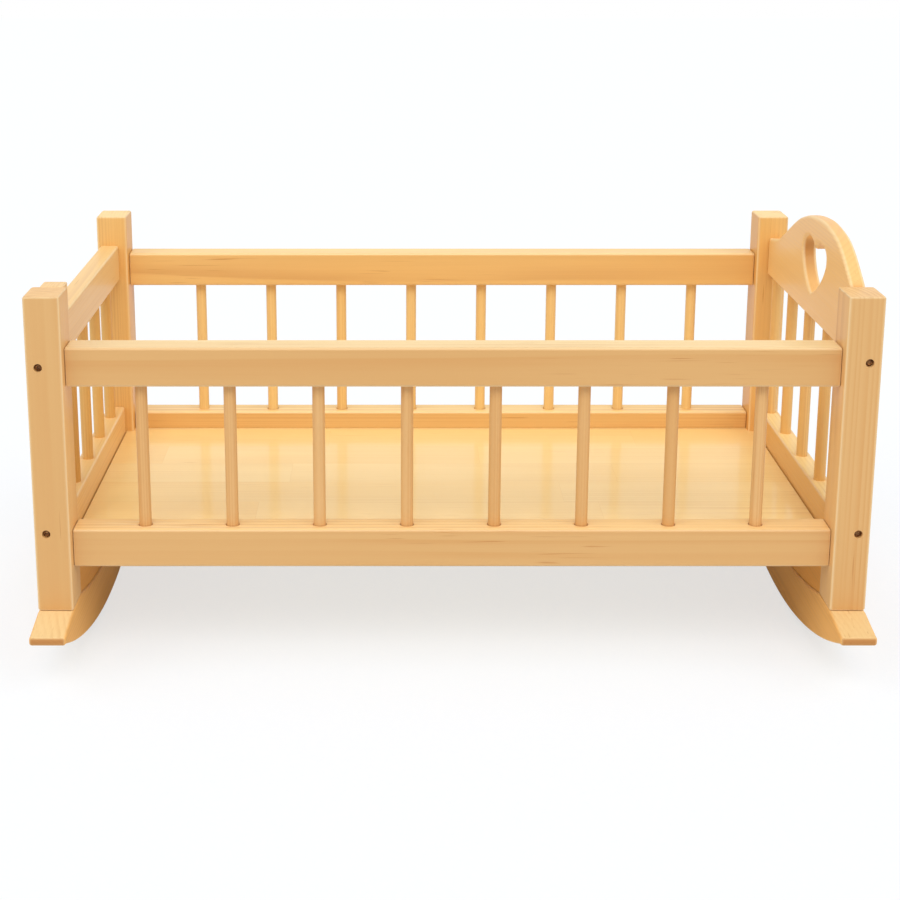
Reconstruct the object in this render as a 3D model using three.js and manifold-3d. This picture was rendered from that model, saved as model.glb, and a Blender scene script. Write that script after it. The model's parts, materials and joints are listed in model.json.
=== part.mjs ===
// A doll's rocking cradle in pine: two rockers carry four square posts, which
// frame two long railed sides, a railed foot and an arched headboard with a
// heart cut-out. Millimetres, +Z up, head end at +X, front side at -Y, and the
// origin on the floor under the middle of the cradle.
import * as THREE from 'three';
import { mergeVertices } from 'three/addons/utils/BufferGeometryUtils.js';
import Module from 'manifold-3d';

const wasm = await Module();
wasm.setup();

// Overall sizes
const cradle_length = 538.2;
const cradle_depth = 297.7;
const post_height = 209.8;
const post_width = 23.2;
const post_depth = 29.2;

// Clearances
const joint_gap = 0.2;
const fit_gap = 0.3;
const cut_overrun = 2;

// Eased edges
const edge_round = 1.8;
const end_ease = 1;
const block_round = 1.5;
const block_ease = 0.8;

// Heights: drops are measured down from the post tops to a piece's top face,
// and lifts are measured up from the post feet to its bottom face

// Side frames: the front rails are flush with the inner faces of their posts
// and the back rails with the outer faces of theirs
const side_rail_height = 25.7;
const side_rail_thickness = 21.3;
const front_upper_rail_drop = 34.9;
const front_lower_rail_lift = 27.3;
const back_upper_rail_drop = 30.7;
const back_lower_rail_lift = 23.5;

// Spindles
const spindle_radius = 4;
const spindle_seat_depth = 8;
const side_spindle_count = 8;
const end_spindle_count = 5;

// A row's first and last spindles stand this far in from the posts, and the
// others are spread evenly between them
const front_row_foot_inset = 46.1;
const front_row_head_inset = 47.3;
const back_row_foot_inset = 54.8;
const back_row_head_inset = 47.1;
const foot_row_front_inset = 14.2;
const foot_row_back_inset = 27.1;
const head_row_front_inset = 14.6;
const head_row_back_inset = 14.9;

// End frames
const end_rail_thickness = 14;
const end_rail_height = 27.7;
const end_rail_setback = 2.6;
const foot_top_rail_drop = 22.6;
const end_bottom_rail_lift = 28.5;

// Headboard
const headboard_thickness = 10.2;
const headboard_foot_drop = 45.7;
const crown_rise = 26.9;
const heart_width = 64.8;
const heart_height = 38.4;
const heart_tip_drop = 28.5;
const heart_offset = -22.5;
const heart_lean = 8;

// Base panel, held in grooves in the lower side rails
const panel_thickness = 5;
const panel_lift = 30.5;
const panel_tongue = 4.5;
const panel_end_gap = 0.8;

// Rockers and the aprons that close the space above them
const rocker_radius = 442;
const rocker_top_sag = 15.7;
const rocker_tip_reach = 30.6;
const rocker_tip_thickness = 6.1;
const rocker_tip_slope_fall = 4.5;
const rocker_nose_radius = 4;
const rocker_seat_land = 1.5;
const apron_thickness = 12;
const apron_setback = 1.5;

// Block behind the top of the front foot post
const block_width = 15.2;
const block_depth = 14.6;
const block_side_inset = 5.2;

// Screws that tie the posts to the end rails
const screw_head_radius = 2.4;
const screw_head_height = 1.6;
const screw_shank_radius = 1.3;
const screw_bite = 7.1;
const screw_point_length = 3;
const screw_point_radius = 0.3;
const screw_sink = 1.5;
const screw_side_inset = 7.9;
const foot_upper_screw_lift = 4.5;
const headboard_screw_lift = 3.1;
const lower_screw_inset = 3.2;

// Steps of the curved surfaces
const round_sides = 12;
const corner_steps = 2;
const ease_steps = 2;
const crown_steps = 48;
const heart_steps = 6;
const rocker_facets = 25;
const rocker_top_steps = 14;
const nose_steps = 3;

// The crown of the headboard from its front end to its back end, as shares of
// the clear depth between the posts and of the crown's rise over the post tops
const crown_shares = [
  [0, -0.17],
  [0.0124, 0],
  [0.048, 0.216],
  [0.089, 0.439],
  [0.128, 0.628],
  [0.184, 0.822],
  [0.259, 0.944],
  [0.336, 1],
  [0.414, 0.972],
  [0.468, 0.926],
  [0.528, 0.84],
  [0.61, 0.639],
  [0.67, 0.431],
  [0.73, 0.186],
  [0.804, -0.126],
  [0.881, -0.42],
  [1, -0.613],
];

// One half of the heart from its notch over the lobe to its tip: a start and
// three cubic curves, as shares of the heart's width and height
const heart_start_shares = [0, 0.85];
const heart_curve_shares = [
  [0.05, 0.94, 0.14, 1, 0.26, 1],
  [0.42, 1, 0.5, 0.9, 0.5, 0.75],
  [0.5, 0.55, 0.3, 0.18, 0, 0],
];

// Levels and planes that several pieces share
const rocker_edge_reach = cradle_depth / 2 + rocker_tip_reach - rocker_nose_radius;
const rocker_tip_foot_z = rocker_radius - Math.sqrt(rocker_radius ** 2 - rocker_edge_reach ** 2);
const rocker_tip_top_z = rocker_tip_foot_z + rocker_tip_thickness;
const rocker_seat_z = rocker_tip_top_z + rocker_tip_slope_fall;
const rocker_band = rocker_seat_z - rocker_top_sag;
const post_foot_z = rocker_seat_z + joint_gap;
const post_top_z = post_foot_z + post_height;
const post_center_x = (cradle_length - post_width) / 2;
const post_center_y = (cradle_depth - post_depth) / 2;
const clear_length = cradle_length - 2 * post_width;
const clear_depth = cradle_depth - 2 * post_depth;
const side_rail_length = clear_length - 2 * joint_gap;
const front_rail_inner_y = -clear_depth / 2;
const back_rail_inner_y = cradle_depth / 2 - side_rail_thickness;
const end_piece_length = clear_depth - 2 * joint_gap;
const end_rail_center_x = cradle_length / 2 - end_rail_setback - end_rail_thickness / 2;
const end_rail_inner_x = end_rail_center_x - end_rail_thickness / 2;
const foot_top_rail_z = post_top_z - foot_top_rail_drop;
const foot_top_rail_foot_z = foot_top_rail_z - end_rail_height;
const end_bottom_rail_foot_z = post_foot_z + end_bottom_rail_lift;
const end_bottom_rail_z = end_bottom_rail_foot_z + end_rail_height;
const headboard_foot_z = post_top_z - headboard_foot_drop;
const panel_foot_z = post_foot_z + panel_lift;
const screw_x = cradle_length / 2 - screw_side_inset;
const foot_upper_screw_z = foot_top_rail_foot_z + foot_upper_screw_lift;
const head_upper_screw_z = headboard_foot_z + headboard_screw_lift;
const lower_screw_z = end_bottom_rail_z - lower_screw_inset;
const screw_length = post_depth + joint_gap + screw_bite - screw_sink;
const pilot_depth = screw_bite + fit_gap;

const pine = { color: '#e0b478', roughness: 0.46, metalness: 0 };
const pine_light = { color: '#f0ca8c', roughness: 0.44, metalness: 0 };
const pine_warm = { color: '#e3a863', roughness: 0.48, metalness: 0 };
const dark_steel = { color: '#4a3524', roughness: 0.5, metalness: 0.6 };

const cradle = new THREE.Group();

function addPiece(name, geometry, look, x, y, z) {
  const mesh = new THREE.Mesh(geometry, new THREE.MeshStandardMaterial(look));
  mesh.name = name;
  mesh.position.set(x, y, z);
  cradle.add(mesh);
  return mesh;
}

// Booleans

function solidFrom(geometry) {
  const bare = geometry.clone();
  bare.deleteAttribute('normal');
  bare.deleteAttribute('uv');
  const merged = mergeVertices(bare);
  const mesh = new wasm.Mesh({
    numProp: 3,
    vertProperties: new Float32Array(merged.getAttribute('position').array),
    triVerts: new Uint32Array(merged.getIndex().array),
  });
  return new wasm.Manifold(mesh);
}

function geometryFrom(solid) {
  const mesh = solid.getMesh();
  const geometry = new THREE.BufferGeometry();
  geometry.setAttribute('position', new THREE.BufferAttribute(mesh.vertProperties, 3));
  geometry.setIndex(new THREE.BufferAttribute(mesh.triVerts, 1));
  const faceted = geometry.toNonIndexed();
  faceted.computeVertexNormals();
  return faceted;
}

function cutFrom(geometry, tools) {
  let solid = solidFrom(geometry);
  for (const tool of tools) {
    solid = solid.subtract(solidFrom(tool));
  }
  return geometryFrom(solid);
}

// Basic shapes

function roundedOutline(width, height, radius) {
  const x = width / 2;
  const y = height / 2;
  const quarter = Math.PI / 2;
  const outline = new THREE.Shape();
  outline.moveTo(x, radius - y);
  outline.absarc(x - radius, y - radius, radius, 0, quarter, false);
  outline.absarc(radius - x, y - radius, radius, quarter, 2 * quarter, false);
  outline.absarc(radius - x, radius - y, radius, 2 * quarter, 3 * quarter, false);
  outline.absarc(x - radius, radius - y, radius, 3 * quarter, 4 * quarter, false);
  return outline;
}

// An outline drawn out along Z and centred on it, with both ends eased
function easedExtrusion(outline, length, ease) {
  const geometry = new THREE.ExtrudeGeometry(outline, {
    depth: length - 2 * ease,
    bevelEnabled: true,
    bevelThickness: ease,
    bevelSize: ease,
    bevelOffset: -ease,
    bevelSegments: ease_steps,
    curveSegments: corner_steps,
    steps: 1,
  });
  geometry.translate(0, 0, ease - length / 2);
  return geometry;
}

function boardAlongX(length, thickness, height) {
  const board = easedExtrusion(roundedOutline(height, thickness, edge_round), length, end_ease);
  return board.rotateY(Math.PI / 2);
}

function boardAlongY(length, thickness, height) {
  const board = easedExtrusion(roundedOutline(thickness, height, edge_round), length, end_ease);
  return board.rotateX(Math.PI / 2);
}

function boardAlongZ(width, depth, height) {
  return easedExtrusion(roundedOutline(width, depth, edge_round), height, end_ease);
}

// A profile drawn in (Y, Z) and given its thickness along X, centred on X = 0
function plateAcrossX(outline, thickness, ease) {
  const plate = easedExtrusion(outline, thickness, ease);
  plate.rotateX(Math.PI / 2);
  return plate.rotateZ(Math.PI / 2);
}

function roundAlongZ(radius, length) {
  return new THREE.CylinderGeometry(radius, radius, length, round_sides).rotateX(Math.PI / 2);
}

function roundAlongY(radius, length) {
  return new THREE.CylinderGeometry(radius, radius, length, round_sides);
}

// Even places between two insets from the ends of a span centred on zero
function evenPlaces(count, span, first_inset, last_inset) {
  const pitch = (span - first_inset - last_inset) / (count - 1);
  const places = [];
  for (let i = 0; i < count; i += 1) {
    places.push(first_inset - span / 2 + i * pitch);
  }
  return places;
}

function upperScrewZ(end) {
  return end < 0 ? foot_upper_screw_z : head_upper_screw_z;
}

// Blind round seats for spindles: mouth_z is the face they open in, and side
// is +1 where they go up from it and -1 where they go down
function spindleSeats(centers, mouth_z, side) {
  const length = spindle_seat_depth + cut_overrun;
  const middle_z = mouth_z + (side * (spindle_seat_depth - cut_overrun)) / 2;
  return centers.map(([x, y]) => roundAlongZ(spindle_radius + fit_gap, length).translate(x, y, middle_z));
}

// Pilot holes for the screws in both ends of a piece that runs along Y
function screwPilots(x, z) {
  const length = pilot_depth + cut_overrun;
  const middle_y = (end_piece_length + cut_overrun - pilot_depth) / 2;
  return [-1, 1].map((end) => roundAlongY(screw_shank_radius + fit_gap, length).translate(x, end * middle_y, z));
}

// Posts

function postGeometry(end, side) {
  const tools = [];
  const outer_face_y = (side * post_depth) / 2;
  const bore_depth = screw_sink + screw_head_height + fit_gap;
  for (const screw_z of [upperScrewZ(end), lower_screw_z]) {
    const x = end * (screw_x - post_center_x);
    const z = screw_z - post_foot_z - post_height / 2;
    const counterbore = roundAlongY(screw_head_radius + fit_gap, bore_depth + cut_overrun);
    tools.push(counterbore.translate(x, outer_face_y + (side * (cut_overrun - bore_depth)) / 2, z));
    tools.push(roundAlongY(screw_shank_radius + fit_gap, post_depth + 2 * cut_overrun).translate(x, 0, z));
  }
  return cutFrom(boardAlongZ(post_width, post_depth, post_height), tools);
}

function addPosts() {
  for (const [end_name, end] of [['foot', -1], ['head', 1]]) {
    for (const [side_name, side] of [['front', -1], ['back', 1]]) {
      const name = end_name + '_' + side_name + '_post';
      const z = post_foot_z + post_height / 2;
      addPiece(name, postGeometry(end, side), pine, end * post_center_x, side * post_center_y, z);
    }
  }
}

// Long sides

function sideSpindleCenters(foot_inset, head_inset) {
  return evenPlaces(side_spindle_count, clear_length, foot_inset, head_inset).map((x) => [x, 0]);
}

function upperSideRail(centers) {
  const board = boardAlongX(side_rail_length, side_rail_thickness, side_rail_height);
  return cutFrom(board, spindleSeats(centers, -side_rail_height / 2, 1));
}

function lowerSideRail(centers, side, foot_z) {
  const board = boardAlongX(side_rail_length, side_rail_thickness, side_rail_height);
  const groove_depth = panel_tongue + fit_gap;
  const groove = new THREE.BoxGeometry(
    side_rail_length + 2 * cut_overrun,
    groove_depth + cut_overrun,
    panel_thickness + 2 * fit_gap,
  );
  const inner_face_y = (-side * side_rail_thickness) / 2;
  const panel_middle_z = panel_foot_z + panel_thickness / 2 - (foot_z + side_rail_height / 2);
  groove.translate(0, inner_face_y + (side * (groove_depth - cut_overrun)) / 2, panel_middle_z);
  return cutFrom(board, [groove, ...spindleSeats(centers, side_rail_height / 2, -1)]);
}

function addSide(name, side, inner_y, upper_drop, lower_lift, centers) {
  const y = inner_y + (side * side_rail_thickness) / 2;
  const half = side_rail_height / 2;
  const upper_foot_z = post_top_z - upper_drop - side_rail_height;
  const lower_foot_z = post_foot_z + lower_lift;
  const lower_rail = lowerSideRail(centers, side, lower_foot_z);
  addPiece(name + '_upper_rail', upperSideRail(centers), pine, 0, y, upper_foot_z + half);
  addPiece(name + '_lower_rail', lower_rail, pine, 0, y, lower_foot_z + half);
  addSpindles(name, centers, 0, y, upper_foot_z, lower_foot_z + side_rail_height);
}

// Spindles reach into a seat at each end and stop a fit gap short of its floor
function addSpindles(name, centers, x, y, upper_face_z, lower_face_z) {
  const seat_reach = spindle_seat_depth - fit_gap;
  const length = upper_face_z - lower_face_z + 2 * seat_reach;
  const z = (upper_face_z + lower_face_z) / 2;
  centers.forEach(([offset_x, offset_y], i) => {
    const spindle = roundAlongZ(spindle_radius, length);
    addPiece(name + '_spindle_' + (i + 1), spindle, pine, x + offset_x, y + offset_y, z);
  });
}

// Ends

function endSpindleCenters(front_inset, back_inset) {
  return evenPlaces(end_spindle_count, clear_depth, front_inset, back_inset).map((y) => [0, y]);
}

function endRail(end, centers, foot_z, seat_side, screw_z) {
  const board = boardAlongY(end_piece_length, end_rail_thickness, end_rail_height);
  const middle_z = foot_z + end_rail_height / 2;
  const seat_face_z = (-seat_side * end_rail_height) / 2;
  const pilots = screwPilots(end * (screw_x - end_rail_center_x), screw_z - middle_z);
  return cutFrom(board, [...spindleSeats(centers, seat_face_z, seat_side), ...pilots]);
}

function crownPoints() {
  const points = crown_shares.map(
    ([along, up]) => new THREE.Vector2((along - 1 / 2) * end_piece_length, post_top_z + up * crown_rise),
  );
  return new THREE.SplineCurve(points).getPoints(crown_steps);
}

// Traces half of the heart on the side given by sign, from notch to tip
function heartHalf(sign) {
  const tip_z = post_top_z - heart_tip_drop;
  const place = (across, up) => {
    const middle_y = heart_offset + (1 - up) * heart_lean;
    return new THREE.Vector2(middle_y + sign * across * heart_width, tip_z + up * heart_height);
  };
  const points = [place(...heart_start_shares)];
  for (const [a, b, c, d, e, f] of heart_curve_shares) {
    const start = points[points.length - 1];
    const curve = new THREE.CubicBezierCurve(start, place(a, b), place(c, d), place(e, f));
    points.push(...curve.getPoints(heart_steps).slice(1));
  }
  return points;
}

function headboardGeometry(centers) {
  const half = end_piece_length / 2;
  const outline = new THREE.Shape([
    new THREE.Vector2(-half, headboard_foot_z),
    new THREE.Vector2(half, headboard_foot_z),
    ...crownPoints().reverse(),
  ]);
  const back_half = heartHalf(1);
  const front_half = heartHalf(-1).reverse();
  outline.holes.push(new THREE.Path([...back_half, ...front_half.slice(1, -1)]));
  const board = plateAcrossX(outline, headboard_thickness, end_ease);
  const pilots = screwPilots(screw_x - end_rail_center_x, head_upper_screw_z);
  return cutFrom(board, [...spindleSeats(centers, headboard_foot_z, 1), ...pilots]);
}

function addFootEnd() {
  const centers = endSpindleCenters(foot_row_front_inset, foot_row_back_inset);
  const x = -end_rail_center_x;
  const half = end_rail_height / 2;
  const top_rail = endRail(-1, centers, foot_top_rail_foot_z, 1, foot_upper_screw_z);
  const bottom_rail = endRail(-1, centers, end_bottom_rail_foot_z, -1, lower_screw_z);
  addPiece('foot_top_rail', top_rail, pine_light, x, 0, foot_top_rail_foot_z + half);
  addPiece('foot_bottom_rail', bottom_rail, pine_light, x, 0, end_bottom_rail_foot_z + half);
  addSpindles('foot', centers, x, 0, foot_top_rail_foot_z, end_bottom_rail_z);
}

function addHeadEnd() {
  const centers = endSpindleCenters(head_row_front_inset, head_row_back_inset);
  const x = end_rail_center_x;
  const bottom_rail = endRail(1, centers, end_bottom_rail_foot_z, -1, lower_screw_z);
  addPiece('headboard', headboardGeometry(centers), pine_light, x, 0, 0);
  addPiece('head_bottom_rail', bottom_rail, pine_light, x, 0, end_bottom_rail_foot_z + end_rail_height / 2);
  addSpindles('head', centers, x, 0, headboard_foot_z, end_bottom_rail_z);
}

// The block stands on the foot top rail against the front foot post
function addCornerBlock() {
  const height = foot_top_rail_drop - joint_gap;
  const outline = roundedOutline(block_width, block_depth, block_round);
  const block = easedExtrusion(outline, height, block_ease);
  const x = (block_width - cradle_length) / 2 + block_side_inset;
  const y = (block_depth - clear_depth) / 2 + joint_gap;
  addPiece('foot_corner_block', block, pine_light, x, y, post_top_z - height / 2);
}

// Base panel: tongues along both long edges, corners notched round the posts

function addBasePanel() {
  const wide_x = side_rail_length / 2;
  const front_y = front_rail_inner_y - panel_tongue;
  const back_y = back_rail_inner_y + panel_tongue;
  const long_x = end_rail_inner_x - panel_end_gap;
  const notch_y = clear_depth / 2 - fit_gap;
  const outline = new THREE.Shape();
  outline.moveTo(wide_x, front_y);
  outline.lineTo(wide_x, -notch_y);
  outline.lineTo(long_x, -notch_y);
  outline.lineTo(long_x, notch_y);
  outline.lineTo(wide_x, notch_y);
  outline.lineTo(wide_x, back_y);
  outline.lineTo(-wide_x, back_y);
  outline.lineTo(-wide_x, notch_y);
  outline.lineTo(-long_x, notch_y);
  outline.lineTo(-long_x, -notch_y);
  outline.lineTo(-wide_x, -notch_y);
  outline.lineTo(-wide_x, front_y);
  const panel = new THREE.ExtrudeGeometry(outline, { depth: panel_thickness, bevelEnabled: false });
  addPiece('base_panel', panel, pine_light, 0, 0, panel_foot_z);
}

// Rockers

// The rocker's top edge between the posts is an arc from one seat to the other
function rockerTopRadius() {
  const half_chord = clear_depth / 2;
  return (half_chord * half_chord + rocker_top_sag * rocker_top_sag) / (2 * rocker_top_sag);
}

// Points of the top arc from +half_chord to -half_chord, raised by lift
function rockerTopArc(half_chord, lift) {
  const radius = rockerTopRadius();
  const points = [];
  for (let i = 0; i <= rocker_top_steps; i += 1) {
    const y = half_chord * (1 - (2 * i) / rocker_top_steps);
    const z = rocker_band + radius - Math.sqrt(radius * radius - y * y);
    points.push(new THREE.Vector2(y, z + lift));
  }
  return points;
}

// The rolling edge is faceted outside its true arc, with one flat facet at the
// bottom, so that the cradle comes to rest on a flat
function rollingEdge() {
  const sweep = 2 * Math.asin(rocker_edge_reach / rocker_radius);
  const step = sweep / rocker_facets;
  const corner_radius = rocker_radius / Math.cos(step / 2);
  const points = [];
  for (let i = 0; i <= rocker_facets; i += 1) {
    const angle = (i - rocker_facets / 2) * step;
    points.push(
      new THREE.Vector2(corner_radius * Math.sin(angle), rocker_radius - corner_radius * Math.cos(angle)),
    );
  }
  return points;
}

// The rounded nose joins the rolling edge to the sloping top of the tip
function nosePoints(bottom, side) {
  const middle_z = (rocker_tip_top_z + bottom.y) / 2;
  const radius_z = (rocker_tip_top_z - bottom.y) / 2;
  const points = [];
  for (let i = 1; i <= 2 * nose_steps; i += 1) {
    const angle = (Math.PI * i) / (2 * nose_steps) - Math.PI / 2;
    const y = bottom.x + side * rocker_nose_radius * Math.cos(angle);
    points.push(new THREE.Vector2(y, middle_z + radius_z * Math.sin(angle)));
  }
  return points;
}

function rockerGeometry() {
  const rolling = rollingEdge();
  const first = rolling[0];
  const last = rolling[rolling.length - 1];
  const post_front_y = cradle_depth / 2;
  const points = [
    ...rolling,
    ...nosePoints(last, 1),
    new THREE.Vector2(post_front_y + rocker_seat_land, rocker_seat_z),
    ...rockerTopArc(clear_depth / 2, 0),
    new THREE.Vector2(-post_front_y - rocker_seat_land, rocker_seat_z),
    ...nosePoints(first, -1).reverse(),
  ];
  return plateAcrossX(new THREE.Shape(points), post_width, end_ease);
}

// Each apron hangs from the end rail down to the top edge of its rocker
function apronGeometry() {
  const half = end_piece_length / 2;
  const top_z = end_bottom_rail_foot_z - joint_gap;
  const points = [
    new THREE.Vector2(-half, top_z),
    ...rockerTopArc(half, fit_gap).reverse(),
    new THREE.Vector2(half, top_z),
  ];
  return plateAcrossX(new THREE.Shape(points.reverse()), apron_thickness, block_ease);
}

function addRockersAndAprons() {
  const apron_x = cradle_length / 2 - post_width + apron_setback + apron_thickness / 2;
  for (const [name, end] of [['foot', -1], ['head', 1]]) {
    addPiece(name + '_rocker', rockerGeometry(), pine_warm, end * post_center_x, 0, 0);
    addPiece(name + '_apron', apronGeometry(), pine_warm, end * apron_x, 0, 0);
  }
}

// Screws: turned about Y, head outward

function screwGeometry() {
  const profile = [
    new THREE.Vector2(0, 0),
    new THREE.Vector2(screw_head_radius, 0),
    new THREE.Vector2(screw_head_radius, screw_head_height),
    new THREE.Vector2(screw_shank_radius, screw_head_height),
    new THREE.Vector2(screw_shank_radius, screw_length - screw_point_length),
    new THREE.Vector2(screw_point_radius, screw_length),
    new THREE.Vector2(0, screw_length),
  ];
  return geometryFrom(solidFrom(new THREE.LatheGeometry(profile, round_sides)));
}

function addScrews() {
  for (const [end_name, end] of [['foot', -1], ['head', 1]]) {
    for (const [side_name, side] of [['front', -1], ['back', 1]]) {
      for (const [level_name, z] of [['upper', upperScrewZ(end)], ['lower', lower_screw_z]]) {
        const name = ['screw', end_name, side_name, level_name].join('_');
        const y = side * (cradle_depth / 2 - screw_sink);
        const mesh = addPiece(name, screwGeometry(), dark_steel, end * screw_x, y, z);
        mesh.rotation.z = side > 0 ? Math.PI : 0;
      }
    }
  }
}

addPosts();
const front_row = sideSpindleCenters(front_row_foot_inset, front_row_head_inset);
const back_row = sideSpindleCenters(back_row_foot_inset, back_row_head_inset);
addSide('front', -1, front_rail_inner_y, front_upper_rail_drop, front_lower_rail_lift, front_row);
addSide('back', 1, back_rail_inner_y, back_upper_rail_drop, back_lower_rail_lift, back_row);
addFootEnd();
addHeadEnd();
addCornerBlock();
addBasePanel();
addRockersAndAprons();
addScrews();

export default cradle;
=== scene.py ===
# A doll's rocking cradle in lacquered pine, dressed for rendering: planed
# boards with rounded edges and bored seats, dowel rows, a headboard and rockers
# cut to outline, and screws in counterbored holes, all placed on the imported solids.
# Some wood colours are painted light and shade, by the way each face looks.
import math
import random

import bmesh
import bpy
from mathutils import Matrix, Vector
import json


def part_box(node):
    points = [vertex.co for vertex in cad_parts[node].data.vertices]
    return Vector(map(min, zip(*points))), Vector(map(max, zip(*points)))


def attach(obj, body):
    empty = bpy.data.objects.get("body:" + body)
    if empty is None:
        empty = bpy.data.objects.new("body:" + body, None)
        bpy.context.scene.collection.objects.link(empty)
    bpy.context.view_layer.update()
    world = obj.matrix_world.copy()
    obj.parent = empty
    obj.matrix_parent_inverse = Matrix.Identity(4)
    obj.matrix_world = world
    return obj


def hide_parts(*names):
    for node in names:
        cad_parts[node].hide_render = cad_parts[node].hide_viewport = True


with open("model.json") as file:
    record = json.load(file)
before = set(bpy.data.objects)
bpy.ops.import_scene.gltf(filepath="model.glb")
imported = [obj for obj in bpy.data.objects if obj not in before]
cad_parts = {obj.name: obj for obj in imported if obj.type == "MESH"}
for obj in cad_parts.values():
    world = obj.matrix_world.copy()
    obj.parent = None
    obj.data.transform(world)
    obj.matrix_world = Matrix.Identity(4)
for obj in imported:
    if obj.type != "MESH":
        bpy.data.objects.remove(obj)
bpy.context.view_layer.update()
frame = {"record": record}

MM = 0.001
X, Y, Z = 0, 1, 2
TOLERANCE = 1e-6


# Node trees, with shader maths written as Python


class Wire:
    """One output of a node, which maths and other nodes take as a value."""

    def __init__(self, graph, socket):
        self.graph = graph
        self.socket = socket

    def __getitem__(self, name):
        return Wire(self.graph, self.socket.node.outputs[name])

    def maths(self, operation, *values):
        return self.graph.node("ShaderNodeMath", {"operation": operation}, dict(enumerate(values)))

    def __add__(self, other):
        return self.maths("ADD", self, other)

    def __radd__(self, other):
        return self.maths("ADD", other, self)

    def __sub__(self, other):
        return self.maths("SUBTRACT", self, other)

    def __rsub__(self, other):
        return self.maths("SUBTRACT", other, self)

    def __mul__(self, other):
        return self.maths("MULTIPLY", self, other)

    def __rmul__(self, other):
        return self.maths("MULTIPLY", other, self)

    def __truediv__(self, other):
        return self.maths("DIVIDE", self, other)

    def __rtruediv__(self, other):
        return self.maths("DIVIDE", other, self)

    def floor(self):
        return self.maths("FLOOR", self)

    def fraction(self):
        return self.maths("FRACT", self)

    def root(self):
        return self.maths("SQRT", self)

    def clamped(self):
        return self.graph.node("ShaderNodeClamp", {}, {"Value": self})

    def rise(self, start, end):
        """Goes smoothly from 0 at start to 1 at end."""
        sockets = {"Value": self, "From Min": start, "From Max": end}
        return self.graph.node("ShaderNodeMapRange", {"interpolation_type": "SMOOTHSTEP"}, sockets)


class Graph:
    """A node tree that is built from expressions and from node calls."""

    def __init__(self, tree):
        self.tree = tree
        tree.nodes.clear()

    def node(self, kind, settings=None, sockets=None, output=0):
        node = self.tree.nodes.new(kind)
        for name, value in (settings or {}).items():
            setattr(node, name, value)
        for name, value in (sockets or {}).items():
            if isinstance(value, Wire):
                self.tree.links.new(value.socket, node.inputs[name])
            else:
                node.inputs[name].default_value = value
        return Wire(self, node.outputs[output]) if node.outputs else node

    def scaled(self, vector, x, y, z):
        sockets = {0: vector, 1: (x, y, z)}
        return self.node("ShaderNodeVectorMath", {"operation": "MULTIPLY"}, sockets)

    def moved(self, vector, offset):
        sockets = {0: vector, 1: offset}
        return self.node("ShaderNodeVectorMath", {"operation": "ADD"}, sockets)

    def joined(self, x, y, z):
        return self.node("ShaderNodeCombineXYZ", {}, {0: x, 1: y, 2: z})

    def parts(self, vector):
        split = self.node("ShaderNodeSeparateXYZ", {}, {0: vector})
        return split["X"], split["Y"], split["Z"]

    def noise(self, vector, detail=2.0):
        sockets = {"Vector": vector, "Scale": 1.0, "Detail": detail}
        return self.node("ShaderNodeTexNoise", {}, sockets)

    def chance(self, x, y, z, output="Value"):
        """A random value or colour that belongs to a place."""
        sockets = {"Vector": self.joined(x, y, z)}
        return self.node("ShaderNodeTexWhiteNoise", {}, sockets, output)

    def stored(self, name, output="Fac"):
        """What a mesh has stored under a name."""
        return self.node("ShaderNodeAttribute", {"attribute_name": name}, output=output)

    def mixed(self, factor, low, high):
        settings = {"data_type": "RGBA", "clamp_factor": True}
        sockets = {0: factor, 6: low, 7: high}
        return self.node("ShaderNodeMix", settings, sockets, output=2)


def new_material(name):
    material = bpy.data.materials.new(name)
    material.use_nodes = True
    return material, Graph(material.node_tree)


def linear(red, green, blue):
    """An sRGB colour given from 0 to 255, as the linear colour that nodes take."""
    channels = []
    for value in (red, green, blue):
        share = value / 255
        channels.append(share / 12.92 if share <= 0.04045 else ((share + 0.055) / 1.055) ** 2.4)
    return (*channels, 1.0)


# Pine. Each scale says how often a pattern changes in a metre, along the
# grain and across it, and each rise is where a pattern starts and is full.

BOW_SCALE = (2.2, 26)
FINE_FIBRE_SCALE = (11, 1150)
BROAD_FIBRE_SCALE = (5, 210)
RESIN_DASH_SCALE = (30, 1100)
RESIN_PATCH_SCALE = (7, 30)
TONE_SCALE = (1.9, 7)
FIGURE_SCALE = (3.4, 40)

LATE_WOOD_RISE = (0.25, 0.86)
LATE_WOOD_END = (0.9, 1.0)
RESIN_DASH_RISE = (0.72, 0.86)
RESIN_PATCH_RISE = (0.48, 0.62)
TONE_RISE = (0.3, 0.7)
FIGURE_RISE = (0.42, 0.6)

UNEVEN_RINGS = 2.6
RING_UNEVENNESS = 1.6
FINE_FIBRE_SHARE = 0.55
BROAD_FIBRE_SHARE = 0.45
PALE_FIBRE_LEVEL = 0.36
FIGURE_SPAN = 1.5
FAINTEST_FIGURE = 0.5
RESIN_SHARE = 0.45
MIDDLE_LEVEL = 0.5
FIBRE_ROUGHNESS = 0.16
RING_SMOOTHNESS = 0.05
FIBRE_HEIGHT = 0.7
RING_HEIGHT = 0.3
RESIN_DEPTH = 0.6
GRAIN_RELIEF = 0.25 * MM
GRAIN_RELIEF_STRENGTH = 0.22

STRIP_WIDTH = 41 * MM
BLOCK_LENGTH = 240 * MM
BLOCK_STAGGER = 5.0
BLOCK_GRAIN_JUMP = (3.0, 0.05, 0.05)
BLOCK_TONE_SHARE = 0.48
STAGGER_CHANCE = (3.0, 1.0)
GRAIN_JUMP_CHANCE = 7.0
BLOCK_TONE_CHANCE = 11.0
SEAM_SHARE = 0.012
BUTT_SHARE = 0.0016
JOINT_DARKNESS = 0.12
JOINT_DEPTH = 0.2


def grain_noise(graph, grain, scale, detail):
    along, across = scale
    return graph.noise(graph.scaled(grain, along, across, across), detail)


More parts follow.
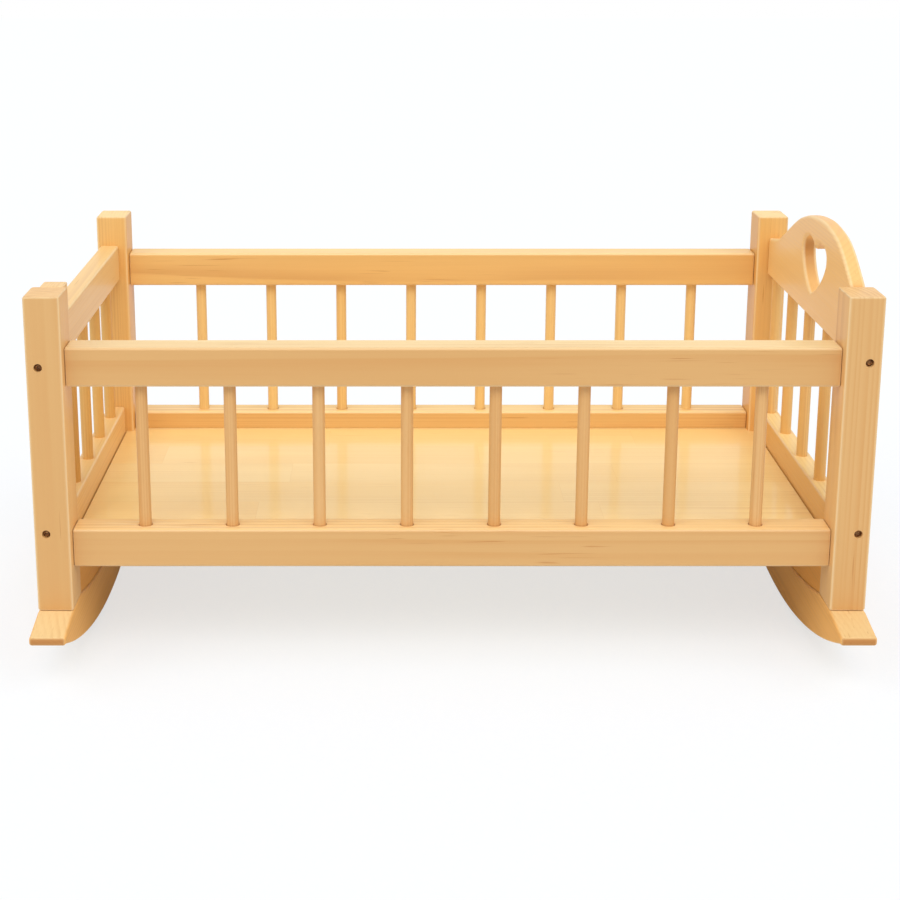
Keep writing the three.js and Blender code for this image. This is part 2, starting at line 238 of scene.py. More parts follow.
def ring_pattern(graph, grain, ring_width, waviness):
    """How far into the dark late wood of its yearly ring a point lies, 0 to 1."""
    across, depth = graph.parts(grain)[1:]
    bow = grain_noise(graph, grain, BOW_SCALE, detail=1.0) - MIDDLE_LEVEL
    from_heart = (across * across + depth * depth).root() + bow * waviness
    ring_group = from_heart / (ring_width * UNEVEN_RINGS)
    uneven = graph.noise(graph.joined(0.0, ring_group, 0.0), detail=1.0)
    phase = (from_heart / ring_width + uneven * RING_UNEVENNESS).fraction()
    return phase.rise(*LATE_WOOD_RISE) * (1 - phase.rise(*LATE_WOOD_END))


def fibre_pattern(graph, grain):
    """Fine streaks that run with the grain."""
    fine = grain_noise(graph, grain, FINE_FIBRE_SCALE, detail=2.0)
    broad = grain_noise(graph, grain, BROAD_FIBRE_SCALE, detail=2.0)
    return fine * FINE_FIBRE_SHARE + broad * BROAD_FIBRE_SHARE


def resin_pattern(graph, grain):
    """Short dark resin dashes, here and there."""
    dashes = grain_noise(graph, grain, RESIN_DASH_SCALE, detail=0.0).rise(*RESIN_DASH_RISE)
    patches = grain_noise(graph, grain, RESIN_PATCH_SCALE, detail=0.0).rise(*RESIN_PATCH_RISE)
    return dashes * patches


def pine_surface(graph, grain, finish):
    """The colour, with painted light, shade and highlights, the roughness and the height of pine
    in a finish.
    """
    rings = ring_pattern(graph, grain, finish["ring_width"], finish["waviness"])
    fibres = fibre_pattern(graph, grain)
    resin = resin_pattern(graph, grain)
    tone = grain_noise(graph, grain, TONE_SCALE, detail=1.0).rise(*TONE_RISE)
    ground = graph.mixed(tone, linear(*finish["pale"]), linear(*finish["warm"]))
    # Painted light and shade: faces marked by the way they look take their own colours, paler tops
    # as if lit from above, darker faces as if in shade.
    for face in ("sawn", "quartered", "end_grain"):
        if finish[face]:
            ground = graph.mixed(graph.stored(face), ground, linear(*finish[face]))
    # Rounded edges take a pale colour: a painted highlight where light would glint.
    painted_highlight = graph.stored("arris") * finish["arris_share"]
    ground = graph.mixed(painted_highlight, ground, linear(*finish["arris"]))
    figure = grain_noise(graph, grain, FIGURE_SCALE, detail=1.0).rise(*FIGURE_RISE)
    ring_darkness = rings * (figure * FIGURE_SPAN + FAINTEST_FIGURE) * finish["ring_share"]
    fibre_darkness = (fibres - PALE_FIBRE_LEVEL) * finish["fibre_share"]
    late = (ring_darkness + fibre_darkness).clamped()
    figured = graph.mixed(late, ground, linear(*finish["late"]))
    color = graph.mixed(resin * RESIN_SHARE, figured, linear(*finish["resin"]))
    fibre_dullness = (fibres - MIDDLE_LEVEL) * FIBRE_ROUGHNESS
    roughness = finish["roughness"] + fibre_dullness - rings * RING_SMOOTHNESS
    height = fibres * FIBRE_HEIGHT + rings * RING_HEIGHT - resin * RESIN_DEPTH
    return color, roughness, height


def shade_wood(graph, color, roughness, height, finish):
    relief = {"Strength": GRAIN_RELIEF_STRENGTH, "Distance": GRAIN_RELIEF, "Height": height}
    sockets = {
        "Base Color": color,
        "Roughness": roughness,
        "Normal": graph.node("ShaderNodeBump", {}, relief),
        "IOR": 1.45,
        "Specular IOR Level": finish["gloss"],
        "Coat Weight": finish["coat"],
        "Coat Roughness": 0.12,
        "Coat IOR": 1.5,
    }
    shader = graph.node("ShaderNodeBsdfPrincipled", {}, sockets)
    graph.node("ShaderNodeOutputMaterial", {}, {"Surface": shader})


def pine_material(name, finish):
    material, graph = new_material(name)
    color, roughness, height = pine_surface(graph, graph.stored("grain", "Vector"), finish)
    shade_wood(graph, color, roughness, height, finish)
    return material


def between_joints(place, joint_share):
    """1 within a strip or a block, and 0 in the joints at its two edges."""
    within = place.fraction()
    return within.rise(0.0, joint_share) * (1 - within.rise(1 - joint_share, 1.0))


def glued_panel_material(name, finish):
    """Pine strips glued side by side, each made of blocks end to end."""
    material, graph = new_material(name)
    grain = graph.stored("grain", "Vector")
    along, across = graph.parts(grain)[:2]
    strip_place = across / STRIP_WIDTH
    strip = strip_place.floor()
    block_place = along / BLOCK_LENGTH + graph.chance(strip, *STAGGER_CHANCE) * BLOCK_STAGGER
    block = block_place.floor()
    own = graph.chance(strip, block, GRAIN_JUMP_CHANCE, "Color")
    jump = graph.scaled(own, *BLOCK_GRAIN_JUMP)
    color, roughness, height = pine_surface(graph, graph.moved(grain, jump), finish)
    block_tone = graph.chance(strip, block, BLOCK_TONE_CHANCE) * BLOCK_TONE_SHARE
    toned = graph.mixed(block_tone, color, linear(*finish["block"]))
    seam = between_joints(strip_place, SEAM_SHARE)
    butt = between_joints(block_place, BUTT_SHARE)
    joint = 1 - seam * butt
    lined = graph.mixed(joint * JOINT_DARKNESS, toned, linear(*finish["late"]))
    shade_wood(graph, lined, roughness, height - joint * JOINT_DEPTH, finish)
    return material


DOWEL_RING_WIDTH = 1.7 * MM

PALE_FINISH = {
    "pale": (247, 209, 148),
    "warm": (243, 199, 131),
    "late": (205, 146, 82),
    "resin": (174, 104, 42),
    # The colour of the painted highlight on rounded edges, and how much of it is painted.
    "arris": (255, 234, 188),
    "arris_share": 0.5,
    # Colours painted on faces by the way they look, as painted light and shade; None paints none.
    "sawn": None,
    "quartered": None,
    "end_grain": None,
    "ring_width": 2.3 * MM,
    "waviness": 3.4 * MM,
    "ring_share": 0.12,
    "fibre_share": 0.42,
    "roughness": 0.44,
    "gloss": 0.25,
    "coat": 0.1,
}
POST_FINISH = dict(
    PALE_FINISH,
    pale=(218, 173, 114),
    warm=(210, 160, 99),
    # The posts' tops are painted paler, as painted light from above.
    sawn=(240, 196, 134),
    # The posts' sides are painted paler than their fronts, as painted light.
    quartered=(235, 186, 120),
    ring_width=3.7 * MM,
    ring_share=0.2,
    gloss=0.22,
    coat=0.06,
)
# The rails' tops are painted paler still, as painted light; the lower rail's a little less, as
# painted shade under the upper rail and spindles.
RAIL_FINISH = dict(POST_FINISH, sawn=(248, 219, 163))
LOW_RAIL_FINISH = dict(POST_FINISH, sawn=(248, 208, 142))
DOWEL_FINISH = dict(
    POST_FINISH,
    pale=(224, 178, 119),
    warm=(215, 164, 102),
    sawn=None,
    quartered=None,
    ring_width=DOWEL_RING_WIDTH,
)
GOLDEN_DOWEL_FINISH = dict(DOWEL_FINISH, pale=(227, 179, 104), warm=(219, 165, 87))
PANEL_FINISH = dict(
    PALE_FINISH,
    pale=(255, 227, 163),
    warm=(254, 221, 150),
    block=(248, 203, 124),
    fibre_share=0.15,
    coat=0.42,
)
ROCKER_FINISH = dict(
    PALE_FINISH,
    pale=(238, 206, 150),
    warm=(232, 197, 139),
    # The rockers' broad faces are painted a deeper orange, as painted shade.
    sawn=(246, 185, 103),
    # The noses' end grain is painted dark: partly the wood's darker end grain, partly painted
    # shade.
    end_grain=(184, 125, 69),
    arris_share=0.08,
    roughness=0.5,
    gloss=0.1,
    coat=0,
)
# The aprons' broad faces are painted darker still, as painted shade under the panel.
APRON_FINISH = dict(ROCKER_FINISH, sawn=(240, 170, 78))
# A copy of the pine painted warmer and more orange, as painted warm light bounced from the panel,
# for the back and inner parts.
BOUNCE_LIT_FINISH = dict(
    PALE_FINISH,
    pale=(237, 193, 122),
    warm=(232, 181, 106),
    sawn=(254, 218, 148),
    # The back posts' sides are painted darker and more orange, as painted shade.
    quartered=(232, 177, 97),
    ring_share=0.2,
)
# The lower back rail's copy, painted darker as painted shade.
LOW_BOUNCE_LIT_FINISH = dict(BOUNCE_LIT_FINISH, pale=(228, 184, 116), warm=(223, 172, 100))
# The back spindles' copy, painted warmer as painted bounce light.
BOUNCE_LIT_DOWEL_FINISH = dict(
    PALE_FINISH,
    pale=(241, 205, 137),
    warm=(238, 196, 123),
    ring_width=DOWEL_RING_WIDTH,
)
HEADBOARD_FINISH = dict(
    PALE_FINISH,
    pale=(246, 196, 127),
    warm=(243, 188, 116),
    # The headboard's broad faces are painted a little paler than its crown edge, as painted light.
    sawn=(251, 204, 132),
    # End grain, in the heart's wall and at the ends, is painted dark: partly the wood's darker end
    # grain, partly painted shade in the heart.
    end_grain=(205, 142, 74),
    ring_share=0.06,
    fibre_share=0.22,
)

FINISHES = {
    "post_and_rail_pine": pine_material("lacquered pine, posts", POST_FINISH),
    "rail_pine": pine_material("lacquered pine, upper rail", RAIL_FINISH),
    "low_rail_pine": pine_material("lacquered pine, lower rail", LOW_RAIL_FINISH),
    "spindle_pine": pine_material("lacquered pine, dowels", DOWEL_FINISH),
    "golden_spindle_pine": pine_material("lacquered pine, golden dowels", GOLDEN_DOWEL_FINISH),
    "end_pine": pine_material("lacquered pine, ends", PALE_FINISH),
    "panel_pine": glued_panel_material("glued pine panel", PANEL_FINISH),
    "rocker_pine": pine_material("lacquered pine, rockers", ROCKER_FINISH),
    "apron_pine": pine_material("lacquered pine, aprons", APRON_FINISH),
    "warm_pine": pine_material("lacquered pine, warmer planks", BOUNCE_LIT_FINISH),
    "low_warm_pine": pine_material("lacquered pine, lower back rail", LOW_BOUNCE_LIT_FINISH),
    "warm_spindle_pine": pine_material("lacquered pine, warmer dowels", BOUNCE_LIT_DOWEL_FINISH),
    "headboard_pine": pine_material("lacquered pine, headboard", HEADBOARD_FINISH),
}


# Bronzed steel

BRONZE = (98, 60, 30)
BARE_STEEL = (206, 148, 84)
WEAR_SCALE = 900
WEAR_RISE = (0.42, 0.68)
WEAR_SHARE = 0.6
SCRATCH_SCALE = 4200
SCRATCH_RELIEF = 0.1 * MM
SCRATCH_RELIEF_STRENGTH = 0.3
STEEL_ROUGHNESS = 0.36
SCRATCH_ROUGHNESS = 0.2


def bronzed_steel():
    material, graph = new_material("bronzed screw steel")
    place = graph.node("ShaderNodeTexCoord", output="Object")
    worn_place = graph.scaled(place, WEAR_SCALE, WEAR_SCALE, WEAR_SCALE)
    wear = graph.noise(worn_place, detail=3.0).rise(*WEAR_RISE)
    scratches = graph.noise(graph.scaled(place, SCRATCH_SCALE, SCRATCH_SCALE, SCRATCH_SCALE))
    relief = {
        "Strength": SCRATCH_RELIEF_STRENGTH,
        "Distance": SCRATCH_RELIEF,
        "Height": scratches,
    }
    sockets = {
        "Base Color": graph.mixed(wear * WEAR_SHARE, linear(*BRONZE), linear(*BARE_STEEL)),
        "Metallic": 0.55,
        "Roughness": STEEL_ROUGHNESS + scratches * SCRATCH_ROUGHNESS,
        "Normal": graph.node("ShaderNodeBump", {}, relief),
    }
    shader = graph.node("ShaderNodeBsdfPrincipled", {}, sockets)
    graph.node("ShaderNodeOutputMaterial", {}, {"Surface": shader})
    return material


FINISHES["screw_steel"] = bronzed_steel()


# Meshes

SHARP_ANGLE = math.radians(34)
FLAT_WEIGHT = 90
GRAIN_START_RANGE = (-4, 4)
HEART_DISTANCE_RANGE = (55, 130)


def add_object(name, data):
    piece = bpy.data.objects.new(name, data)
    bpy.context.scene.collection.objects.link(piece)
    return piece


def mesh_from(shape, name):
    mesh = bpy.data.meshes.new(name)
    shape.to_mesh(mesh)
    shape.free()
    return mesh


def baked(piece):
    """Replaces a piece's mesh or curve with what its modifiers make of it."""
    graph = bpy.context.evaluated_depsgraph_get()
    mesh = bpy.data.meshes.new_from_object(piece.evaluated_get(graph), depsgraph=graph)
    piece.modifiers.clear()
    if piece.type == "MESH":
        piece.data = mesh
        return piece
    name = piece.name
    bpy.data.objects.remove(piece)
    return add_object(name, mesh)


def smooth_faces(mesh):
    mesh.shade_smooth()
    mesh.set_sharp_from_angle(angle=SHARP_ANGLE)


def turned(profile, sides):
    """A closed solid turned about Z from (radius, height) points."""
    shape = bmesh.new()
    angles = [2 * math.pi * i / sides for i in range(sides)]
    rings = []
    for radius, height in profile:
        if radius == 0:
            places = [(0, 0, height)]
        else:
            places = [(radius * math.cos(a), radius * math.sin(a), height) for a in angles]
        rings.append([shape.verts.new(place) for place in places])
    for low, high in zip(rings, rings[1:]):
        for i in range(sides):
            j = (i + 1) % sides
            around = ((low, i), (low, j), (high, j), (high, i))
            unique = list(dict.fromkeys(ring[k % len(ring)] for ring, k in around))
            if len(unique) > 2:
                shape.faces.new(unique)
    bmesh.ops.recalc_face_normals(shape, faces=shape.faces)
    return shape


def box_shape(low, high):
    shape = bmesh.new()
    bmesh.ops.create_cube(shape, size=1)
    for vertex in shape.verts:
        vertex.co = [low[i] if vertex.co[i] < 0 else high[i] for i in (X, Y, Z)]
    return shape


def round_over(shape, edges, radius, segments):
    settings = {"segments": segments, "profile": 0.5, "affect": "EDGES"}
    bmesh.ops.bevel(shape, geom=edges, offset=radius, **settings)


def joined_mesh(shapes_and_places, name):
    """One mesh from several shapes, each with the matrix that places it."""
    whole = bmesh.new()
    for shape, place in shapes_and_places:
        shape.transform(place)
        bmesh.ops.recalc_face_normals(shape, faces=shape.faces)
        part = mesh_from(shape, name + " part")
        whole.from_mesh(part)
        bpy.data.meshes.remove(part)
    return mesh_from(whole, name)


def bore_through(piece, cutters):
    """Cuts away each (shape, place) from a piece."""
    if cutters:
        tool = add_object("cutter", joined_mesh(cutters, "cutter"))
        cut = piece.modifiers.new("bores", "BOOLEAN")
        cut.operation = "DIFFERENCE"
        cut.solver = "EXACT"
        cut.object = tool
        baked(piece)
        bpy.data.objects.remove(tool)


def round_normals(piece):
    """Keeps flat faces flat beside their rounded edges."""
    smooth_faces(piece.data)
    weighted = piece.modifiers.new("weighted", "WEIGHTED_NORMAL")
    weighted.keep_sharp = True
    weighted.weight = FLAT_WEIGHT
    return baked(piece)


def lay_grain(mesh, axis, name):
    """Gives each point its place in the plank: along the grain from a chance
    start, and across and into the plank from the heart of the tree."""
    draw = random.Random(name)
    start = draw.uniform(*GRAIN_START_RANGE)
    turn = draw.uniform(0, 2 * math.pi)
    heart_distance = draw.uniform(*HEART_DISTANCE_RANGE) * MM
    points = [vertex.co for vertex in mesh.vertices]
    middle = sum(points, Vector()) / len(points)
    side, deep = [i for i in (X, Y, Z) if i != axis]
    across = middle[side] + heart_distance * math.cos(turn)
    depth = middle[deep] + heart_distance * math.sin(turn)
    values = []
    for point in points:
        values.extend((point[axis] + start, point[side] - across, point[deep] - depth))
    grain = mesh.attributes.new("grain", "FLOAT_VECTOR", "POINT")
    grain.data.foreach_set("vector", values)


def enter(piece, slot, nodes, axis=None, look=None):
    """Finishes a piece and hands it to the frame in the place of its nodes."""
    if axis is not None:
        lay_grain(piece.data, axis, piece.name)
    piece.data.materials.clear()
    piece.data.materials.append(FINISHES[look or slot])
    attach(piece, "root")
    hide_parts(*nodes)
    return piece


def corners(node):
    low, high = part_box(node)
    return Vector(low), Vector(high)


def middle_of(node):
    low, high = corners(node)
    return (low + high) / 2


# Marks that the pine materials read, most of them for painted light, shade and highlights

FLAT_LEAN = (0.9, 0.901)
SAWN_LEAN = (0.3, 0.7)
END_GRAIN_LEAN = (0.55, 1.0)
FLAT_ARRIS_LIMIT = 0.97
SIDE_ARRIS_LIMIT = 0.24
ARRIS_SPAN = 0.2


def store_shares(mesh, name, values):
    """Stores a value from 0 to 1 for each point of a mesh."""
    marks = mesh.attributes.new(name, "FLOAT", "POINT")
    marks.data.foreach_set("value", [min(max(value, 0), 1) for value in values])


def mark_edge_highlights(mesh, flat_axis=None):
    """Stores how far each point lies in a rounded edge, where a pale colour is painted as a
    painted highlight.
    A piece cut to outline has curved sides, so only the lean from its flat faces counts."""
    leans = []
    for vertex in mesh.vertices:
        if flat_axis is None:
            leans.append(FLAT_ARRIS_LIMIT - max(abs(part) for part in vertex.normal))
        else:
            flat = abs(vertex.normal[flat_axis])
            leans.append(min(flat - SIDE_ARRIS_LIMIT, FLAT_ARRIS_LIMIT - flat))
    store_shares(mesh, "arris", [lean / ARRIS_SPAN for lean in leans])


def mark_faces(mesh, name, axis, lean=FLAT_LEAN):
    """Stores how squarely each point's faces look along an axis."""
    start, end = lean
    squareness = [abs(vertex.normal[axis]) for vertex in mesh.vertices]
    store_shares(mesh, name, [(share - start) / (end - start) for share in squareness])


# Planed boards

BOARD_EDGE = 1.8 * MM
BOARD_END_EASE = 0.9 * MM
POST_EDGE = 2 * MM
POST_END_EASE = 1.3 * MM
BLOCK_EDGE = 1.5 * MM
BLOCK_END_EASE = 0.8 * MM
EDGE_SEGMENTS = 4
EASE_SEGMENTS = 2


def board_shape(low, high, axis, edge, end_ease):
    """A planed board with rounded long edges and eased ends."""
    shape = box_shape(low, high)
    long_edges = [e for e in shape.edges if abs(e.verts[0].co[axis] - e.verts[1].co[axis]) > MM]
    round_over(shape, long_edges, edge, EDGE_SEGMENTS)
    end_edges = []
    for e in shape.edges:
        places = [vertex.co[axis] for vertex in e.verts]
        if max(places) < low[axis] + TOLERANCE or min(places) > high[axis] - TOLERANCE:
            end_edges.append(e)
    round_over(shape, end_edges, end_ease, EASE_SEGMENTS)
    return shape


def add_board(node, slot, axis, cutters=(), edge=BOARD_EDGE, end_ease=BOARD_END_EASE, look=None):
    """A planed board, whose flat faces are marked after boring, so that the new
    points round its holes are marked too."""
    low, high = corners(node)
    shape = board_shape(low, high, axis, edge, end_ease)
    piece = add_object("fine_" + node, mesh_from(shape, node))
    # Rounded edges are marked for a painted highlight.
    mark_edge_highlights(piece.data)
    bore_through(piece, cutters)
    # Top and bottom faces are marked for a paler painted light, as if lit from above.
    mark_faces(piece.data, "sawn", Z)
    # A post's sides are marked for their own painted light or shade.
    if axis == Z:
        mark_faces(piece.data, "quartered", X)
    return enter(round_normals(piece), slot, [node], axis, look)


# Bored seats and holes

SPINDLE_RADIUS = 4 * MM
SEAT_RADIUS = 4.3 * MM
MOUTH_RADIUS = 4.9 * MM
SEAT_DEPTH = 8 * MM
BORE_RADIUS = 2.7 * MM
BORE_DEPTH = 3.4 * MM
PILOT_RADIUS = 1.6 * MM
OVERRUN = 2 * MM
GROOVE_GAP = 0.3 * MM
HOLE_SIDES = 40

ROW_COUNTS = {"front": 8, "back": 8, "foot": 5, "head": 5}
ROWS = {
    row: ["%s_spindle_%d" % (row, i + 1) for i in range(count)]
    for row, count in ROW_COUNTS.items()
}
# The back and head rows take copies painted with warm bounce light.
ROW_LOOKS = {
    "front": "spindle_pine",
    "back": "warm_spindle_pine",
    "foot": "golden_spindle_pine",
    "head": "warm_pine",
}


def seat_cutters(row, face_z, side):
    """Seats with a broken edge for a row of spindles, up or down from a face."""
    cutters = []
    for node in ROWS[row]:
        middle = middle_of(node)
        profile = [
            (0, -OVERRUN),
            (MOUTH_RADIUS + OVERRUN, -OVERRUN),
            (MOUTH_RADIUS, 0),
            (SEAT_RADIUS, MOUTH_RADIUS - SEAT_RADIUS),
            (SEAT_RADIUS, SEAT_DEPTH),
            (0, SEAT_DEPTH),
        ]
        place = Matrix.Translation((middle.x, middle.y, face_z)) @ Matrix.Diagonal((1, 1, side, 1))
        cutters.append((turned(profile, HOLE_SIDES), place))
    return cutters


def screw_cutters(post, screws):
    """A counterbore with a pilot hole behind it for each screw in a post."""
    low, high = corners(post)
    cutters = []
    for node in screws:
        middle = middle_of(node)
        outward = math.copysign(1, middle.y)
        face_y = high.y if outward > 0 else low.y
        thickness = high.y - low.y + OVERRUN
        profile = [
            (0, -thickness),
            (PILOT_RADIUS, -thickness),
            (PILOT_RADIUS, -BORE_DEPTH),
            (BORE_RADIUS, -BORE_DEPTH),
            (BORE_RADIUS, OVERRUN),
            (0, OVERRUN),
        ]
        turn = Matrix.Rotation(-outward * math.pi / 2, 4, "X")
        place = Matrix.Translation((middle.x, face_y, middle.z)) @ turn
        cutters.append((turned(profile, HOLE_SIDES), place))
    return cutters


def groove_cutter(rail):
    """The groove along a lower rail that takes the edge of the panel."""
    panel_low, panel_high = corners("base_panel")
    rail_low, rail_high = corners(rail)
    low = [rail_low.x - OVERRUN, panel_low.y - GROOVE_GAP, panel_low.z - GROOVE_GAP]
    high = [rail_high.x + OVERRUN, panel_high.y + GROOVE_GAP, panel_high.z + GROOVE_GAP]
    return box_shape(low, high), Matrix.Identity(4)


def add_posts_and_rails():
    for end in ("foot", "head"):
        for side in ("front", "back"):
            post = "%s_%s_post" % (end, side)
            screws = ["screw_%s_%s_%s" % (end, side, level) for level in ("upper", "lower")]
            cutters = screw_cutters(post, screws)
            # The back posts take the copy painted with warm bounce light.
            look = "warm_pine" if side == "back" else None
            add_board(post, "post_and_rail_pine", Z, cutters, POST_EDGE, POST_END_EASE, look)
    # The back rails take copies painted with warm bounce light, the lower one darker as painted
    # shade.
    side_looks = {"front": ("rail_pine", "low_rail_pine"), "back": ("warm_pine", "low_warm_pine")}
    for side, (upper_look, lower_look) in side_looks.items():
        upper = side + "_upper_rail"
        lower = side + "_lower_rail"
        upper_seats = seat_cutters(side, corners(upper)[0].z, 1)
        lower_seats = seat_cutters(side, corners(lower)[1].z, -1) + [groove_cutter(lower)]
        add_board(upper, "post_and_rail_pine", X, upper_seats, look=upper_look)
        add_board(lower, "post_and_rail_pine", X, lower_seats, look=lower_look)


def add_end_rails():
    foot_top_seats = seat_cutters("foot", corners("foot_top_rail")[0].z, 1)
    add_board("foot_top_rail", "end_pine", Y, foot_top_seats)
    for end in ("foot", "head"):
        rail = end + "_bottom_rail"
        # The head bottom rail takes the copy painted with warm bounce light.
        look = "warm_pine" if end == "head" else None
        add_board(rail, "end_pine", Y, seat_cutters(end, corners(rail)[1].z, -1), look=look)
    add_board("foot_corner_block", "end_pine", Z, edge=BLOCK_EDGE, end_ease=BLOCK_END_EASE)


# Pieces cut to outline: the headboard, the rockers and the aprons

SAWN_EDGE_RESOLUTION = 2


def sawn_piece(name, outlines, node, edge):
    """A board cut to closed outlines in (Y, Z), with its edges rounded over."""
    low, high = corners(node)
    curve = bpy.data.curves.new(name, "CURVE")
    curve.dimensions = "2D"
    curve.fill_mode = "BOTH"
    curve.extrude = (high.x - low.x) / 2 - edge
    curve.bevel_depth = edge
    curve.bevel_resolution = SAWN_EDGE_RESOLUTION
    curve.offset = -edge
    for outline in outlines:
        spline = curve.splines.new("POLY")
        spline.points.add(len(outline) - 1)
        for point, (y, z) in zip(spline.points, outline):
            point.co = (y, z, 0, 1)
        spline.use_cyclic_u = True
    piece = baked(add_object(name, curve))
    shape = bmesh.new()
    shape.from_mesh(piece.data)
    bmesh.ops.remove_doubles(shape, verts=shape.verts, dist=TOLERANCE)
    bmesh.ops.recalc_face_normals(shape, faces=shape.faces)
    middle_x = (low.x + high.x) / 2
    stand = Matrix(((0, 0, 1, middle_x), (1, 0, 0, 0), (0, 1, 0, 0), (0, 0, 0, 1)))
    shape.transform(stand)
    shape.to_mesh(piece.data)
    shape.free()
    # Broad faces are marked for their own painted light or shade.
    mark_faces(piece.data, "sawn", X, SAWN_LEAN)
    # End grain is marked to be painted darker: partly the wood's own darker end grain, partly
    # painted shade.
    mark_faces(piece.data, "end_grain", Y, END_GRAIN_LEAN)
    # Rounded edges are marked for a painted highlight.
    mark_edge_highlights(piece.data, X)
    return piece


def spline_points(points, steps):
    """A smooth line through points, with steps between neighbours."""
    line = []
    last = len(points) - 1
    for i in range(last):
        before, start = points[max(i - 1, 0)], points[i]
        end, after = points[i + 1], points[min(i + 2, last)]
        for step in range(steps):
            t = step / steps
            place = []
            for axis in (0, 1):
                a, b, c, d = before[axis], start[axis], end[axis], after[axis]
                leave, arrive = (c - a) / 2, (d - b) / 2
                cubic = (2 * b - 2 * c + leave + arrive) * t**3
                square = (3 * c - 3 * b - 2 * leave - arrive) * t**2
                place.append(cubic + square + leave * t + b)
            line.append(tuple(place))
    line.append(tuple(points[-1]))
    return line


def bezier_points(a, b, c, d, steps):
    """A curve from a to d that leaves towards b and arrives from c, without a."""
    line = []
    for step in range(1, steps + 1):
        t = step / steps
        s = 1 - t
        weights = (s**3, 3 * s * s * t, 3 * s * t * t, t**3)
        line.append(tuple(sum(w * p[i] for w, p in zip(weights, (a, b, c, d))) for i in (0, 1)))
    return line


HEADBOARD_EDGE = 2.4 * MM
CROWN_RISE = 26.9 * MM
CROWN_STEPS = 8
CROWN_SHARES = [
    (0, -0.17),
    (0.0124, 0),
    (0.048, 0.216),
    (0.089, 0.439),
    (0.128, 0.628),
    (0.184, 0.822),
    (0.259, 0.944),
    (0.336, 1),
    (0.414, 0.972),
    (0.468, 0.926),
    (0.528, 0.84),
    (0.61, 0.639),
    (0.67, 0.431),
    (0.73, 0.186),
    (0.804, -0.126),
    (0.881, -0.42),
    (1, -0.613),
]
HEART_WIDTH = 64.8 * MM
HEART_HEIGHT = 38.4 * MM
HEART_TIP_DROP = 28.5 * MM
HEART_OFFSET = -22.5 * MM
HEART_LEAN = 8 * MM
HEART_STEPS = 14
HEART_START_SHARES = (0, 0.85)
HEART_CURVE_SHARES = [
    ((0.05, 0.94), (0.14, 1), (0.26, 1)),
    ((0.42, 1), (0.5, 0.9), (0.5, 0.75)),
    ((0.5, 0.55), (0.3, 0.18), (0, 0)),
]


def heart_half(sign, post_top_z):
    """One side of the heart, from the notch between its lobes down to its tip."""
    tip_z = post_top_z - HEART_TIP_DROP

    def place(share):
        across, up = share
        middle_y = HEART_OFFSET + (1 - up) * HEART_LEAN
        return middle_y + sign * across * HEART_WIDTH, tip_z + up * HEART_HEIGHT

    points = [place(HEART_START_SHARES)]
    for first, second, end in HEART_CURVE_SHARES:
        points += bezier_points(points[-1], place(first), place(second), place(end), HEART_STEPS)
    return points


def add_headboard():
    """The crown stops at the top of the CAD board, which its smooth line would pass."""
    low, high = corners("headboard")
    post_top_z = corners("head_front_post")[1].z
    length = high.y - low.y
    crown = [((along - 0.5) * length, post_top_z + up * CROWN_RISE) for along, up in CROWN_SHARES]
    top = [(y, min(z, high.z)) for y, z in spline_points(crown, CROWN_STEPS)]
    outline = [(low.y, low.z), (high.y, low.z)] + top[::-1]
    heart = heart_half(1, post_top_z) + heart_half(-1, post_top_z)[::-1][1:-1]
    piece = sawn_piece("fine_headboard", [outline, heart], "headboard", HEADBOARD_EDGE)
    bore_through(piece, seat_cutters("head", low.z, 1))
    enter(round_normals(piece), "end_pine", ["headboard"], Y, "headboard_pine")


ROCKER_RADIUS = 442 * MM
ROCKER_TOP_SAG = 15.7 * MM
ROCKER_EDGE = 1.7 * MM
TIP_THICKNESS = 6.1 * MM
TIP_SLOPE_FALL = 4.5 * MM
NOSE_RADIUS = 4 * MM
NOSE_SQUARENESS = 0.55
SEAT_LAND = 1.5 * MM
APRON_EDGE = 0.3 * MM
APRON_LIFT = 0.02 * MM
POST_JOINT_GAP = 0.2 * MM
ROLLING_STEPS = 96
TOP_STEPS = 48
NOSE_STEPS = 10


def rocker_top_arc(half_chord, clear_half, band, lift):
    """The rocker's top edge between the posts, from back to front."""
    radius = (clear_half**2 + ROCKER_TOP_SAG**2) / (2 * ROCKER_TOP_SAG)
    points = []
    for i in range(TOP_STEPS + 1):
        y = half_chord * (1 - 2 * i / TOP_STEPS)
        points.append((y, band + radius - math.sqrt(radius**2 - y**2) + lift))
    return points


def nose_points(bottom_y, bottom_z, top_z, side):
    """The blunt nose of a rocker: an arc that is squared up to a flat front."""
    points = []
    for i in range(1, NOSE_STEPS + 1):
        angle = math.pi * i / NOSE_STEPS - math.pi / 2
        out = max(math.cos(angle), 0) ** NOSE_SQUARENESS
        up = math.copysign(abs(math.sin(angle)) ** NOSE_SQUARENESS, math.sin(angle))
        y = bottom_y + side * NOSE_RADIUS * out
        points.append((y, (top_z + bottom_z) / 2 + (top_z - bottom_z) / 2 * up))
    return points


